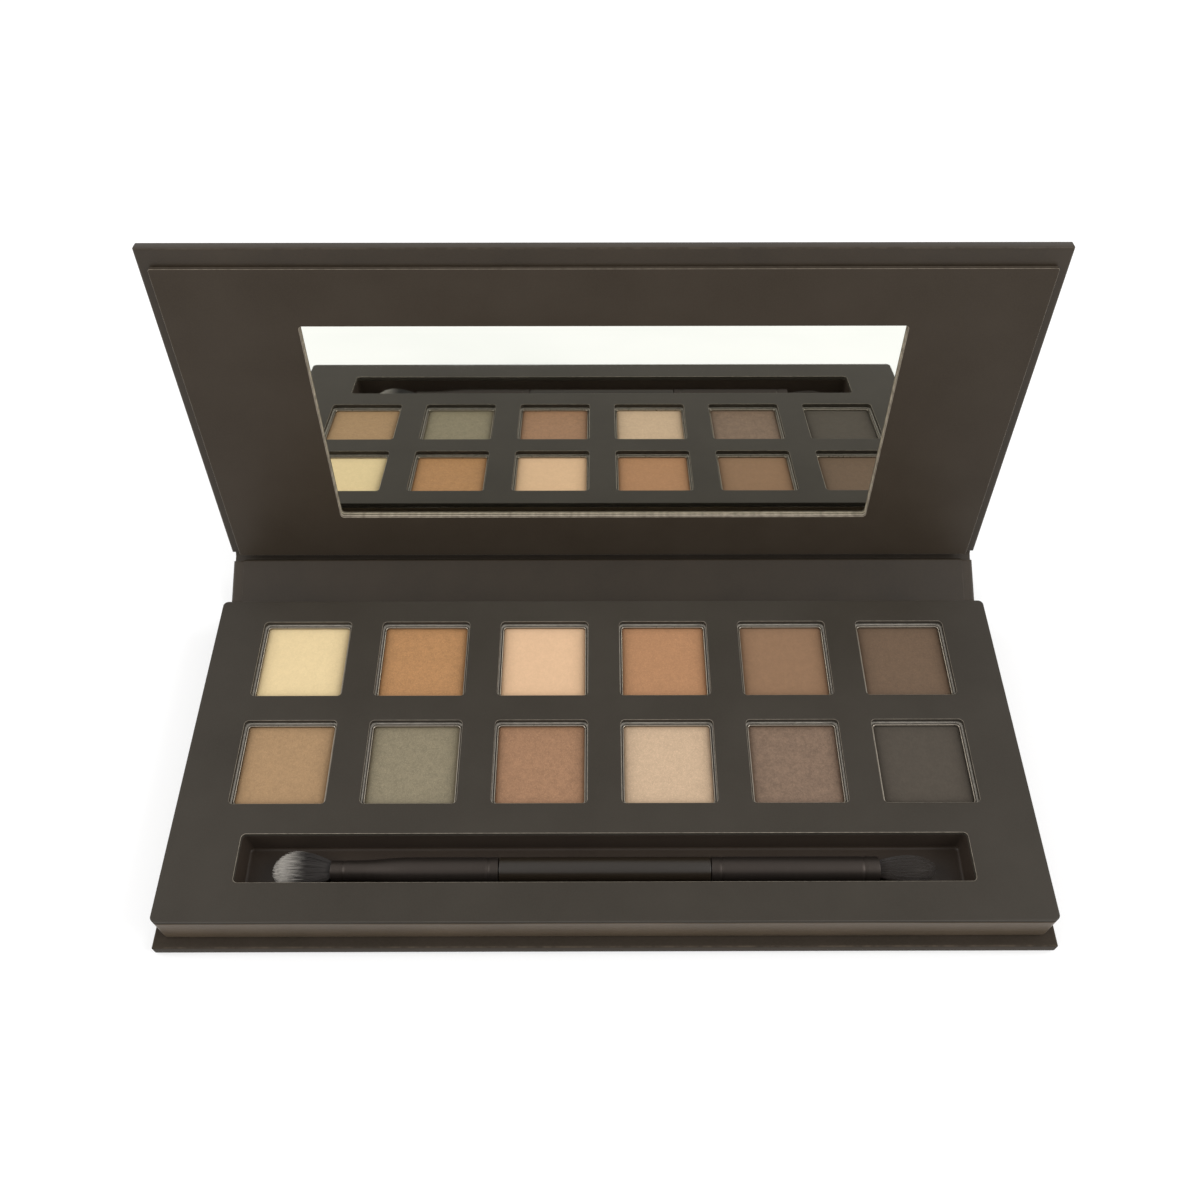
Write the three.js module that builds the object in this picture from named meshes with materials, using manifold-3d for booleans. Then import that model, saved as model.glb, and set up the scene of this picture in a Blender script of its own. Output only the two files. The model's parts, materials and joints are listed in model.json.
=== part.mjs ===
// An eyeshadow palette built like a small book: three wrapped boards joined by
// paper hinges, a tray of twelve pressed powders with a brush well on the base
// board, and a mirror behind a liner card in the lid.
// Millimetres, +Z up, +Y to the back. The origin is the centre of the base
// board's underside. The lid stands open, as the palette is used.
import * as THREE from 'three';
import { mergeVertices } from 'three/addons/utils/BufferGeometryUtils.js';
import Module from 'manifold-3d';

const wasm = await Module();
wasm.setup();

// ---- driving dimensions ----

// sheet stock and the two small gaps everything is built with
const paper = 0.3;              // printed wrap paper
const glue = 0.06;              // a film of glue between two sheets
const slip = 0.15;              // a loose fit between a part and its pocket

// the case: base, spine and lid boards
const caseWidth = 190;
const caseDepth = 87.5;         // front edge to the line the base hinge folds on
const hingeGap = 2.3;           // fold line to the edge of the board beside it
const hingeLift = 0.4;          // fold line above a board's outer face
const foldClear = 0.02;         // the bent paper's outside, in from the boards' outer faces
const foldEndInset = 1;         // the bent strips stop this far short of the case ends
const baseBoardThickness = 2.3;
const lidBoardThickness = 0.8;
const spineBoardThickness = 1.2;
const turnIn = 13;              // how far the wrap is folded over onto the inside
const turnInAtFold = 9;         // the same along the lid's hinge edge
const spineTurnIn = 1.5;        // and along the spine's long edges
const closeGap = 0.3;           // liner to tray when the lid is shut

// how the case stands open
const spineRest = 24.5;         // degrees, spine above the table
const lidLean = 7.85;           // degrees, lid leaning back from upright

// inner sheets
const liningThickness = 0.2;
const baseLiningInset = 4;      // lining edge to tray edge
const spineLiningInset = [2.7, 0.8];  // lining edge to the spine's ends and long edges
const sheetRadius = 0.5;        // cut corners of hidden sheets

// the tray on the base board
const trayHeight = 9.5;
const traySideMargin = 2.1;     // tray edge to case edge
const trayFrontMargin = 2.2;
const trayBackMargin = 3;
const trayFloorThickness = 0.8;
const trayWall = 2;
const trayCornerRadius = 1.2;
const faceCardThickness = 1.2;

// the twelve windows, pans and powders
const columns = 6;
const rows = 2;
const windowSideMargin = 11.15; // tray edge to the outer windows
const windowBackMargin = 6.1;
const windowWebX = 7.5;         // card left between two windows
const windowWebY = 6.5;
const windowToWell = 7;         // front row of windows to the brush well
const windowRadius = 1;
const panInset = 0.35;          // pan smaller than its window, each side
const panHeight = 3.6;
const panMetal = 0.35;
const panDrop = 0.35;           // pan rim below the face card's underside
const powderDrop = 0.2;         // powder below its pan's rim
const padThickness = 0.15;      // double-sided adhesive under the pans
const padInset = 1;

// the brush well
const wellSideMargin = 15.4;    // tray edge to the well's ends
const wellWidth = 10.8;
const wellFromFront = 8.4;      // tray front to the well's front edge
const troughWall = 0.5;

// the two-ended brush
const brushRadius = 2.7;
const handleLength = 45;
const ferruleJoint = 0.2;       // seam between the handle and a ferrule
const neckRadius = 2.1;         // the soft head's ferrule where it grips the hairs
const neckLength = 6;
const taperShare = 0.4;         // where the soft ferrule's taper starts, and how far it bends
const endRound = 0.15;          // rounding of the handle's and ferrules' ends
const headLength = 12.6;
const headNeckShare = 0.6;      // the hairs at the ferrule, of their widest
const headWidestAt = 0.55;      // how far along a head is widest
const headClear = 0.4;          // the soft head to the well's front wall
const softHeadHalfHeight = 2.55;
const firmHeadHalf = [3.1, 1.9];
const brushForward = 0.8;       // the brush lies this much in front of the middle
const brushTravel = 6.5;        // free length of well at each end of the brush

// the mirror and its liner card
const linerThickness = 0.95;
const linerInsetSides = 2.2;
const linerInsetTop = 4.1;
const mirrorSideMargin = 28;    // liner edge to its window
const mirrorBottomMargin = 13;
const mirrorTopMargin = 13.5;
const mirrorWindowRadius = 0.8;
const mirrorLap = 2.6;          // mirror hidden behind the liner on each side
const mirrorThickness = 1;
const mirrorTape = 0.15;
const mirrorTapeInset = 4;

// the magnets that hold the lid shut
const magnetRadius = 4;
const magnetThickness = 1.4;
const magnetBlockFill = 0.5;    // how far across its block a magnet sits

// ---- sizes worked out from these ----

const boardDepth = caseDepth - hingeGap;
const frontY = -boardDepth / 2;
const hingeY = frontY + caseDepth;
const rad = THREE.MathUtils.degToRad;

const baseTop = 2 * paper + 2 * glue + baseBoardThickness;
const liningTop = baseTop + glue + liningThickness;
const trayBottom = liningTop + glue;
const trayTop = baseTop + trayHeight;
const faceBottom = trayTop - faceCardThickness;
const floorTop = trayBottom + trayFloorThickness;
const panTop = faceBottom - panDrop;
const panBottom = panTop - panHeight;
const padBottom = panBottom - glue - padThickness;
const platformTop = padBottom - glue;

const lidFrameThickness = mirrorTape + mirrorThickness + glue - paper;
const lidFrameBottom = 2 * glue + paper + lidBoardThickness - hingeLift;
const lidWrapInner = lidFrameBottom + lidFrameThickness + glue + paper;
const linerBottom = lidWrapInner + glue;
const linerTop = linerBottom + linerThickness;
const spineWrapInner = 2 * paper + 2 * glue + spineBoardThickness - hingeLift;
const spineLength = trayTop + closeGap + linerTop - hingeLift;

const trayWidth = caseWidth - 2 * traySideMargin;
const trayDepth = boardDepth - trayFrontMargin - trayBackMargin;
const trayFrontY = frontY + trayFrontMargin;
const trayMiddleY = trayFrontY + trayDepth / 2;
const wallOuter = paper + glue;
const innerWidth = trayWidth - 2 * (wallOuter + trayWall + glue);
const innerFront = trayFrontY + wallOuter + trayWall + glue;
const innerBack = trayFrontY + trayDepth - wallOuter - trayWall - glue;
const wellLength = trayWidth - 2 * wellSideMargin;
const wellFront = trayFrontY + wellFromFront;
const wellMiddleY = wellFront + wellWidth / 2;
const troughLength = wellLength + 2 * troughWall;
const troughWidth = wellWidth + 2 * troughWall;
const troughFloorTop = floorTop + glue + troughWall;
const troughFront = wellFront - troughWall;
const troughBack = wellFront + wellWidth + troughWall;
const brushZ = troughFloorTop + brushRadius + glue;
const ferruleEnd = wellLength / 2 - brushTravel - headLength;
const softHeadHalf = [wellWidth / 2 - brushForward - headClear, softHeadHalfHeight];

const windowRoomX = trayWidth - 2 * windowSideMargin - (columns - 1) * windowWebX;
const windowWidth = windowRoomX / columns;
const windowFront = wellFront + wellWidth + windowToWell;
const windowBack = trayFrontY + trayDepth - windowBackMargin;
const windowDepth = (windowBack - windowFront - (rows - 1) * windowWebY) / rows;

const linerWidth = caseWidth - 2 * linerInsetSides;
const linerEnd = caseDepth - linerInsetTop;
const mirrorWindowWidth = linerWidth - 2 * mirrorSideMargin;
const mirrorWindowLow = hingeGap + mirrorBottomMargin;
const mirrorWindowHeight = linerEnd - mirrorTopMargin - mirrorWindowLow;

// ---- shapes ----

// the outline of a rectangle with round corners, about a middle point
function roundedRectangle(width, depth, radius, x = 0, y = 0, Kind = THREE.Shape) {
  const [w, d] = [width / 2, depth / 2];
  const r = Math.max(Math.min(radius, w, d), 0.01);
  const outline = new Kind();
  outline.moveTo(x - w + r, y - d);
  outline.absarc(x + w - r, y - d + r, r, -Math.PI / 2, 0, false);
  outline.absarc(x + w - r, y + d - r, r, 0, Math.PI / 2, false);
  outline.absarc(x - w + r, y + d - r, r, Math.PI / 2, Math.PI, false);
  outline.absarc(x - w + r, y - d + r, r, Math.PI, 1.5 * Math.PI, false);
  return outline;
}

// a flat sheet of an outline, from one height to another
function sheet(outline, low, high, curveSegments = 4) {
  const options = { depth: high - low, bevelEnabled: false, curveSegments };
  return new THREE.ExtrudeGeometry(outline, options).translate(0, 0, low);
}

// a block between two opposite corners
function block(low, high) {
  const size = high.map((value, axis) => value - low[axis]);
  const middle = high.map((value, axis) => (value + low[axis]) / 2);
  return new THREE.BoxGeometry(...size).translate(...middle);
}

// a section drawn in Y and Z, carried across the palette's width
function acrossX(section, width) {
  const options = { depth: width, bevelEnabled: false, curveSegments: 6 };
  const turn = new THREE.Matrix4().makeBasis(
    new THREE.Vector3(0, 1, 0),
    new THREE.Vector3(0, 0, 1),
    new THREE.Vector3(1, 0, 0),
  );
  const geometry = new THREE.ExtrudeGeometry(section, options).applyMatrix4(turn);
  return geometry.translate(-width / 2, 0, 0);
}

// a profile of [distance along X, radius] points turned about the X axis
function turned(points, segments = 20) {
  const profile = points.map(([along, radius]) => new THREE.Vector2(radius, along));
  return new THREE.LatheGeometry(profile, segments).rotateZ(-Math.PI / 2);
}

function toSolid(geometry) {
  const plain = geometry.clone();
  plain.deleteAttribute('normal');
  plain.deleteAttribute('uv');
  const merged = mergeVertices(plain, 1e-5);
  return new wasm.Manifold(new wasm.Mesh({
    numProp: 3,
    vertProperties: new Float32Array(merged.attributes.position.array),
    triVerts: new Uint32Array(merged.index.array),
  }));
}

// one geometry with others cut out of it
function cutFrom(geometry, ...cutters) {
  const left = cutters.reduce((solid, cutter) => solid.subtract(toSolid(cutter)), toSolid(geometry));
  const mesh = left.getMesh();
  const cut = new THREE.BufferGeometry();
  cut.setAttribute('position', new THREE.BufferAttribute(new Float32Array(mesh.vertProperties), 3));
  cut.setIndex(new THREE.BufferAttribute(new Uint32Array(mesh.triVerts), 1));
  const flat = cut.toNonIndexed();
  flat.computeVertexNormals();
  return flat;
}

// wrap paper folded round a board: a box, hollowed for the board, with a
// window on its inner face where the turned-in paper stops
function wrapAround(low, high, openLow, openHigh) {
  const inside = paper;
  const pocket = block(low.map((v) => v + inside), high.map((v) => v - inside));
  const [z0, z1] = [high[2] - 2 * paper, high[2] + paper];
  return cutFrom(block(low, high), pocket, block([...openLow, z0], [...openHigh, z1]));
}

// ---- materials ----

function finish(color, roughness, metalness = 0) {
  return () => new THREE.MeshStandardMaterial({ color, roughness, metalness });
}
const wrapPaper = finish(0x47403a, 0.55);
const blackCard = finish(0x45403a, 0.6);
const greyBoard = finish(0x9a948a, 0.9);
const adhesive = finish(0xe8e4d8, 0.7);
const mirrorGlass = finish(0xe6ebee, 0.03, 1);
const magnetSteel = finish(0xb9bbbf, 0.35, 1);
const tinplate = finish(0xc8c6c2, 0.3, 1);
const gloss = finish(0x2a2624, 0.35);
const satinTube = finish(0x35302d, 0.4, 0.6);
const paleHair = finish(0xb8b2aa, 0.9);
const darkHair = finish(0x2c2825, 0.9);

// powders from the front left to the back right, a row at a time
const powderColours = [
  0xae8c69, 0x90846e, 0xa57e61, 0xccb194, 0x856e5e, 0x59524a,
  0xead2a3, 0xb4875d, 0xe3bc97, 0xb28462, 0x937259, 0x735d4c,
];

// ---- assembly ----

const palette = new THREE.Group();

function add(group, name, geometry, material) {
  const mesh = new THREE.Mesh(geometry, material());
  mesh.name = name;
  group.add(mesh);
  return mesh;
}

// the base board, its wrap and the sheet pasted inside it
function addBase(group) {
  const half = caseWidth / 2;
  const edge = paper + glue;
  const low = [-half, frontY, 0];
  const high = [half, frontY + boardDepth, baseTop];
  const openLow = [low[0] + turnIn, low[1] + turnIn];
  const openHigh = [high[0] - turnIn, high[1] - turnIn];
  add(group, 'base_wrap', wrapAround(low, high, openLow, openHigh), wrapPaper);
  const board = block(low.map((v) => v + edge), high.map((v) => v - edge));
  add(group, 'base_board', board, greyBoard);
  const outline = roundedRectangle(
    trayWidth - 2 * baseLiningInset, trayDepth - 2 * baseLiningInset, sheetRadius, 0,
    trayMiddleY);
  add(group, 'base_lining', sheet(outline, baseTop + glue, liningTop), wrapPaper);
}

// a ring of the tray's outline, set in from its edge and so thick
function trayRing(inset, thickness, low, high) {
  const outer = roundedRectangle(
    trayWidth - 2 * inset, trayDepth - 2 * inset, trayCornerRadius - inset, 0, trayMiddleY);
  const within = inset + thickness;
  outer.holes.push(roundedRectangle(
    trayWidth - 2 * within, trayDepth - 2 * within, trayCornerRadius - within, 0, trayMiddleY,
    THREE.Path));
  return sheet(outer, low, high);
}

// the middle of each window, the front row first
function windowMiddles() {
  const middles = [];
  for (let row = 0; row < rows; row += 1) {
    for (let column = 0; column < columns; column += 1) {
      const x = (column - (columns - 1) / 2) * (windowWidth + windowWebX);
      const y = windowFront + windowDepth / 2 + row * (windowDepth + windowWebY);
      middles.push([x, y]);
    }
  }
  return middles;
}

// the tray: floor, frame, wrap and the fillers that hold pans and brush up
function addTray(group) {
  const floorOutline = roundedRectangle(innerWidth, innerBack - innerFront, sheetRadius, 0,
    (innerFront + innerBack) / 2);
  add(group, 'tray_floor', sheet(floorOutline, trayBottom, floorTop), greyBoard);
  const frame = trayRing(wallOuter, trayWall, trayBottom, faceBottom - glue);
  add(group, 'tray_frame', frame, greyBoard);
  add(group, 'tray_wrap', trayRing(0, paper, trayBottom, faceBottom - glue), wrapPaper);

  const half = innerWidth / 2;
  const fillLow = floorTop + glue;
  const fillHigh = faceBottom - glue;
  const boardFront = troughBack + slip;
  const platform = block([-half, boardFront, fillLow], [half, innerBack, platformTop]);
  add(group, 'pan_platform', platform, greyBoard);
  const pad = block([-half + padInset, boardFront + padInset, padBottom],
    [half - padInset, innerBack - padInset, padBottom + padThickness]);
  add(group, 'pan_adhesive', pad, adhesive);

  const middleY = (boardFront + innerBack) / 2;
  const board = roundedRectangle(innerWidth, innerBack - boardFront, sheetRadius, 0, middleY);
  for (const [x, y] of windowMiddles()) {
    const [width, depth] = [windowWidth, windowDepth].map((v) => v - 2 * panInset + 2 * slip);
    board.holes.push(roundedRectangle(width, depth, windowRadius, x, y, THREE.Path));
  }
  add(group, 'well_board', sheet(board, panBottom, fillHigh, 3), greyBoard);

  const spacer = block([-half, innerFront, fillLow], [half, troughFront - slip, fillHigh]);
  add(group, 'front_spacer', spacer, greyBoard);
}

// the magnets at the ends of the well, in the blocks that hold them
function magnetPlace() {
  const blockInner = troughLength / 2 + slip;
  const x = blockInner + (innerWidth / 2 - blockInner) * magnetBlockFill;
  return [x, wellMiddleY];
}

function addMagnetBlocks(group) {
  const [x, y] = magnetPlace();
  const top = faceBottom - glue;
  for (const [side, sign] of [['left', -1], ['right', 1]]) {
    const ends = [sign * (troughLength / 2 + slip), sign * innerWidth / 2].sort((a, b) => a - b);
    const body = block([ends[0], troughFront, floorTop + glue], [ends[1], troughBack, top]);
    const pocket = new THREE.CylinderGeometry(
      magnetRadius + slip, magnetRadius + slip, 2 * magnetThickness, 20);
    pocket.rotateX(Math.PI / 2).translate(sign * x, y, top);
    add(group, `magnet_block_${side}`, cutFrom(body, pocket), greyBoard);
    const disc = new THREE.CylinderGeometry(magnetRadius, magnetRadius,
      magnetThickness - 2 * glue, 20);
    disc.rotateX(Math.PI / 2).translate(sign * x, y, top - magnetThickness / 2);
    add(group, `tray_magnet_${side}`, disc, magnetSteel);
  }
}

// the face card, with a window over each pan and one over the brush
function addFaceCard(group) {
  const card = roundedRectangle(trayWidth, trayDepth, trayCornerRadius, 0, trayMiddleY);
  for (const [x, y] of windowMiddles()) {
    card.holes.push(roundedRectangle(windowWidth, windowDepth, windowRadius, x, y, THREE.Path));
  }
  card.holes.push(roundedRectangle(wellLength, wellWidth, windowRadius, 0, wellMiddleY,
    THREE.Path));
  add(group, 'face_card', sheet(card, faceBottom, trayTop, 3), blackCard);
}

// the folded trough that the brush lies in
function addTrough(group) {
  const outer = roundedRectangle(troughLength, troughWidth, windowRadius + troughWall, 0,
    wellMiddleY);
  const inner = roundedRectangle(wellLength, wellWidth, windowRadius, 0, wellMiddleY);
  const top = faceBottom - glue;
  const trough = cutFrom(
    sheet(outer, floorTop + glue, top), sheet(inner, troughFloorTop, top + 1));
  add(group, 'brush_trough', trough, blackCard);
}

// each pan is a shallow pressed dish with its powder filled almost to the rim
function addPans(group) {
  const width = windowWidth - 2 * panInset;
  const depth = windowDepth - 2 * panInset;
  windowMiddles().forEach(([x, y], index) => {
    const inside = panMetal + glue;
    const dish = cutFrom(
      sheet(roundedRectangle(width, depth, windowRadius, x, y), panBottom, panTop, 3),
      sheet(roundedRectangle(width - 2 * panMetal, depth - 2 * panMetal,
        windowRadius - panMetal, x, y), panBottom + panMetal, panTop + 1, 3));
    add(group, `pan_${index + 1}`, dish, tinplate);
    const cake = roundedRectangle(width - 2 * inside, depth - 2 * inside,
      windowRadius - inside, x, y);
    const powder = sheet(cake, panBottom + inside, panTop - powderDrop, 3);
    add(group, `powder_${index + 1}`, powder, finish(powderColours[index], 0.85));
  });
}

// a head of hair: it swells out of its ferrule, then closes in a dome
function brushHead([halfWidth, halfHeight]) {
  const neck = Math.min(headNeckShare, (neckRadius - endRound) / halfWidth);
  const steps = 7;
  const points = [[0, 0], [0, neck]];
  for (let step = 1; step < steps; step += 1) {
    const t = step / steps;
    const swell = neck + (1 - neck) * Math.sin(Math.min(t / headWidestAt, 1) * Math.PI / 2);
    const dome = Math.sqrt(1 - Math.max(0, (t - headWidestAt) / (1 - headWidestAt)) ** 2);
    points.push([t * headLength, swell * dome]);
  }
  points.push([headLength, 0]);
  return turned(points, 16).scale(1, halfWidth, halfHeight);
}

// the brush: a handle, two ferrules, a soft round head and a firm flat one
function addBrush(group) {
  const brush = new THREE.Group();
  brush.position.set(0, wellMiddleY - brushForward, brushZ);
  group.add(brush);
  const [half, r, round] = [handleLength / 2, brushRadius, endRound];
  const handle = [[-half, 0], [-half, r - round], [-half + round, r], [half - round, r],
    [half, r - round], [half, 0]];
  add(brush, 'brush_handle', turned(handle), gloss);

  const start = half + ferruleJoint;
  const neckStart = ferruleEnd - neckLength;
  const taperStart = start + (neckStart - start) * taperShare;
  const straight = [[start, 0], [start, r - round], [start + round, r], [ferruleEnd - round, r],
    [ferruleEnd, r - round], [ferruleEnd, 0]];
  add(brush, 'ferrule_right', turned(straight), satinTube);
  const taper = [[start, 0], [start, r - round], [start + round, r], [taperStart, r],
    [(taperStart + neckStart) / 2, r - (r - neckRadius) * taperShare], [neckStart, neckRadius],
    [ferruleEnd, neckRadius], [ferruleEnd, 0]];
  add(brush, 'ferrule_left', turned(taper).rotateZ(Math.PI), satinTube);

  const soft = brushHead(softHeadHalf).rotateZ(Math.PI);
  add(brush, 'bristles_left', soft.translate(-ferruleEnd - glue, 0, 0), paleHair);
  const firm = brushHead(firmHeadHalf).translate(ferruleEnd + glue, 0, 0);
  add(brush, 'bristles_right', firm, darkHair);
}

// a bent strip of two papers across a fold: it starts in line with -Y, turns
// through an angle about the fold line and runs on
function foldStrip(angle) {
  const reach = hingeGap - glue;
  const thickness = paper + liningThickness;
  const drop = hingeLift - thickness / 2 - foldClear;
  const bend = hingeGap / 2;
  const steps = 4;
  const line = [[-reach, 0, 0]];
  for (let step = 0; step <= steps; step += 1) {
    const t = step / steps;
    const before = bend * (1 - t) ** 2;
    const after = bend * t ** 2;
    line.push([after * Math.cos(angle) - before, after * Math.sin(angle), t * angle]);
  }
  line.push([reach * Math.cos(angle), reach * Math.sin(angle), angle]);
  const side = (offset) => line.map(([y, z, turn]) =>
    new THREE.Vector2(y - offset * Math.sin(turn), z + offset * Math.cos(turn)));
  const section = new THREE.Shape([...side(-drop - thickness / 2),
    ...side(-drop + thickness / 2).reverse()]);
  return acrossX(section, caseWidth - 2 * foldEndInset);
}

// the spine board, its wrap and the lining over it, in the spine's own frame
function addSpine(group) {
  const half = caseWidth / 2;
  const edge = paper + glue;
  const low = [-half, hingeGap, -hingeLift];
  const high = [half, spineLength - hingeGap, spineWrapInner];
  const openLow = [low[0] + turnIn, low[1] + spineTurnIn];
  const openHigh = [high[0] - turnIn, high[1] - spineTurnIn];
  add(group, 'spine_wrap', wrapAround(low, high, openLow, openHigh), wrapPaper);
  add(group, 'spine_board', block(low.map((v) => v + edge), high.map((v) => v - edge)),
    greyBoard);
  const [insetEnds, insetEdges] = spineLiningInset;
  const lining = block(
    [-half + insetEnds, low[1] + insetEdges, spineWrapInner + glue],
    [half - insetEnds, high[1] - insetEdges, spineWrapInner + glue + liningThickness]);
  add(group, 'spine_lining', lining, wrapPaper);
}

// the lid: two laminated boards, wrap, mirror, magnets and the liner card
function addLid(group) {
  const half = caseWidth / 2;
  const edge = paper + glue;
  const low = [-half, hingeGap, -hingeLift];
  const high = [half, caseDepth, lidWrapInner];
  const openLow = [low[0] + turnIn, low[1] + turnInAtFold];
  const openHigh = [high[0] - turnIn, high[1] - turnIn];
  add(group, 'lid_wrap', wrapAround(low, high, openLow, openHigh), wrapPaper);

  const boardLow = low.map((v) => v + edge);
  const boardHigh = [high[0] - edge, high[1] - edge, lidFrameBottom - glue];
  add(group, 'lid_board', block(boardLow, boardHigh), greyBoard);

  const windowY = mirrorWindowLow + mirrorWindowHeight / 2;
  const mirrorWidth = mirrorWindowWidth + 2 * mirrorLap;
  const mirrorHeight = mirrorWindowHeight + 2 * mirrorLap;
  const frameTop = lidFrameBottom + lidFrameThickness;
  const frame = block([boardLow[0], boardLow[1], lidFrameBottom],
    [boardHigh[0], boardHigh[1], frameTop]);
  const mirrorPocket = sheet(roundedRectangle(mirrorWidth + 2 * slip, mirrorHeight + 2 * slip,
    mirrorWindowRadius, 0, windowY), lidFrameBottom - 1, frameTop + 1);
  const [magnetX, magnetY] = magnetPlace();
  const magnetAlong = hingeY - magnetY;
  const magnetHole = (sign) => {
    const hole = new THREE.CylinderGeometry(magnetRadius + slip, magnetRadius + slip, 4, 20);
    return hole.rotateX(Math.PI / 2).translate(sign * magnetX, magnetAlong, frameTop);
  };
  add(group, 'lid_frame_board', cutFrom(frame, mirrorPocket, magnetHole(-1), magnetHole(1)),
    greyBoard);
  for (const [side, sign] of [['left', -1], ['right', 1]]) {
    const disc = new THREE.CylinderGeometry(magnetRadius, magnetRadius,
      lidFrameThickness - 2 * glue, 20);
    disc.rotateX(Math.PI / 2).translate(sign * magnetX, magnetAlong,
      lidFrameBottom + lidFrameThickness / 2);
    add(group, `lid_magnet_${side}`, disc, magnetSteel);
  }

  const [tapeX, tapeY] = [mirrorWidth, mirrorHeight].map((v) => v / 2 - mirrorTapeInset);
  const tape = block([-tapeX, windowY - tapeY, lidFrameBottom],
    [tapeX, windowY + tapeY, lidFrameBottom + mirrorTape]);
  add(group, 'mirror_tape', tape, adhesive);
  const mirrorBack = lidFrameBottom + mirrorTape + glue;
  const mirror = sheet(roundedRectangle(mirrorWidth, mirrorHeight, mirrorWindowRadius, 0,
    windowY), mirrorBack, mirrorBack + mirrorThickness);
  add(group, 'mirror', mirror, mirrorGlass);

  const liner = roundedRectangle(linerWidth, linerEnd - hingeGap, sheetRadius, 0,
    (hingeGap + linerEnd) / 2);
  liner.holes.push(roundedRectangle(mirrorWindowWidth, mirrorWindowHeight, mirrorWindowRadius,
    0, windowY, THREE.Path));
  add(group, 'lid_liner', sheet(liner, linerBottom, linerTop), blackCard);
}

addBase(palette);
addTray(palette);
addMagnetBlocks(palette);
addTrough(palette);
addFaceCard(palette);
addPans(palette);
addBrush(palette);

const baseFold = new THREE.Group();
baseFold.position.set(0, hingeY, hingeLift);
palette.add(baseFold);
add(baseFold, 'base_hinge_paper', foldStrip(rad(spineRest)), wrapPaper);

const spine = new THREE.Group();
spine.rotation.x = rad(spineRest);
baseFold.add(spine);
addSpine(spine);

const lidFold = new THREE.Group();
lidFold.position.set(0, spineLength, 0);
spine.add(lidFold);
const lidTurn = rad(90 - lidLean - spineRest);
add(lidFold, 'lid_hinge_paper', foldStrip(lidTurn), wrapPaper);

const lid = new THREE.Group();
lid.rotation.x = lidTurn;
lidFold.add(lid);
addLid(lid);

export default palette;
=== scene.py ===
# %% [markdown]
# # An eyeshadow palette
# The palette is a small book made of board and paper: a base with a tray of twelve pressed powders and a
# two-ended brush, a spine, and a lid with a mirror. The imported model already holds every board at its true
# place, so this notebook only dresses it: it makes the paper, card, tin, powder and hair that are seen, and
# gives the hidden boards their own plain finishes.

# %% Load the frame
import json
import math

import bpy
import numpy as np
from mathutils import Matrix, Vector
from mathutils.geometry import tessellate_polygon


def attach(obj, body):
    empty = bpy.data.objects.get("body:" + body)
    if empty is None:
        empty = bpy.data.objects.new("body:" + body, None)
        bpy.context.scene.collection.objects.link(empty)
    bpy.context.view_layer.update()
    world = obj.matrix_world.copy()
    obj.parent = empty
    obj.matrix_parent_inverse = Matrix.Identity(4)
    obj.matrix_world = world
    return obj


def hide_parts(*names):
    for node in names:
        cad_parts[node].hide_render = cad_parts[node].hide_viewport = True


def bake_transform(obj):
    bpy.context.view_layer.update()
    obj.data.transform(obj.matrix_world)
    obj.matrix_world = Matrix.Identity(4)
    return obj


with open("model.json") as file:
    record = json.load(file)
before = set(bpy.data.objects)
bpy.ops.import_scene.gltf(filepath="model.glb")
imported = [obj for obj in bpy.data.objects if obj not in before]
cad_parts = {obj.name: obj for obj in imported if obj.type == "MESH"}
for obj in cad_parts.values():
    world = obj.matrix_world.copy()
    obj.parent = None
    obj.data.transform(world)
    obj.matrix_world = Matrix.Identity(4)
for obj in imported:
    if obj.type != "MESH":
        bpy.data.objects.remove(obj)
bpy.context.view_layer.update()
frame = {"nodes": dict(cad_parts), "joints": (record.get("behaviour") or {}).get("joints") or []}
MM = 0.001

# %% [markdown]
# ## The camera
# The camera stands in front and well above, close enough for the lid to spread towards its top. It could be
# aimed with a Track To constraint, but three plain turns are easier to read: lean down from level, swing a
# hair to the right, and a hair of roll.

# %% Camera
camera_place = np.array([-1.41, -119.49, 236.03])
camera_down, camera_swing, camera_roll = 54.506, 0.196, 0.05
camera_lens, camera_sensor = 33.594, 36

camera = bpy.data.objects.new("camera", bpy.data.cameras.new("camera"))
bpy.context.scene.collection.objects.link(camera)
camera.data.lens = camera_lens
camera.data.sensor_width = camera_sensor
camera.data.clip_start = 0.01
camera.matrix_world = (
    Matrix.Translation(Vector(camera_place * MM))
    @ Matrix.Rotation(math.radians(-camera_swing), 4, "Z")
    @ Matrix.Rotation(math.radians(90 - camera_down), 4, "X")
    @ Matrix.Rotation(math.radians(camera_roll), 4, "Z")
)
bpy.context.scene.camera = camera
print("camera at", camera_place, "mm, lens", camera_lens)

# %% [markdown]
# ## Each body's own directions
# The spine and the lid stand at an angle, but a board is easiest to draw flat. So each body has a frame of
# its own: X across the palette, Y up along the board from its fold line, Z out of the board's inner face.
# A turn and a shift carry a flat drawing to its place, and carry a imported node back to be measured.

# %% Body frames
lid_lean = 7.85
fold = {joint["name"]: np.array(joint["pos_m"]) / MM for joint in frame["joints"] if "pos_m" in joint}
spine_rise = fold["lid_fold"] - fold["spine_fold"]
spine_angle = math.atan2(spine_rise[2], spine_rise[1])
lid_angle = math.radians(90 - lid_lean)
spine_length = float(np.hypot(spine_rise[1], spine_rise[2]))


def turn_about_x(angle):
    """The matrix that turns points about X: Y towards Z by the angle."""
    c, s = math.cos(angle), math.sin(angle)
    return np.array([[1, 0, 0], [0, c, -s], [0, s, c]])


STAND = {
    "base": (turn_about_x(0), np.zeros(3)),
    "spine": (turn_about_x(spine_angle), fold["spine_fold"]),
    "lid": (turn_about_x(lid_angle), fold["lid_fold"]),
    "brush": (turn_about_x(0), np.zeros(3)),
}


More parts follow.
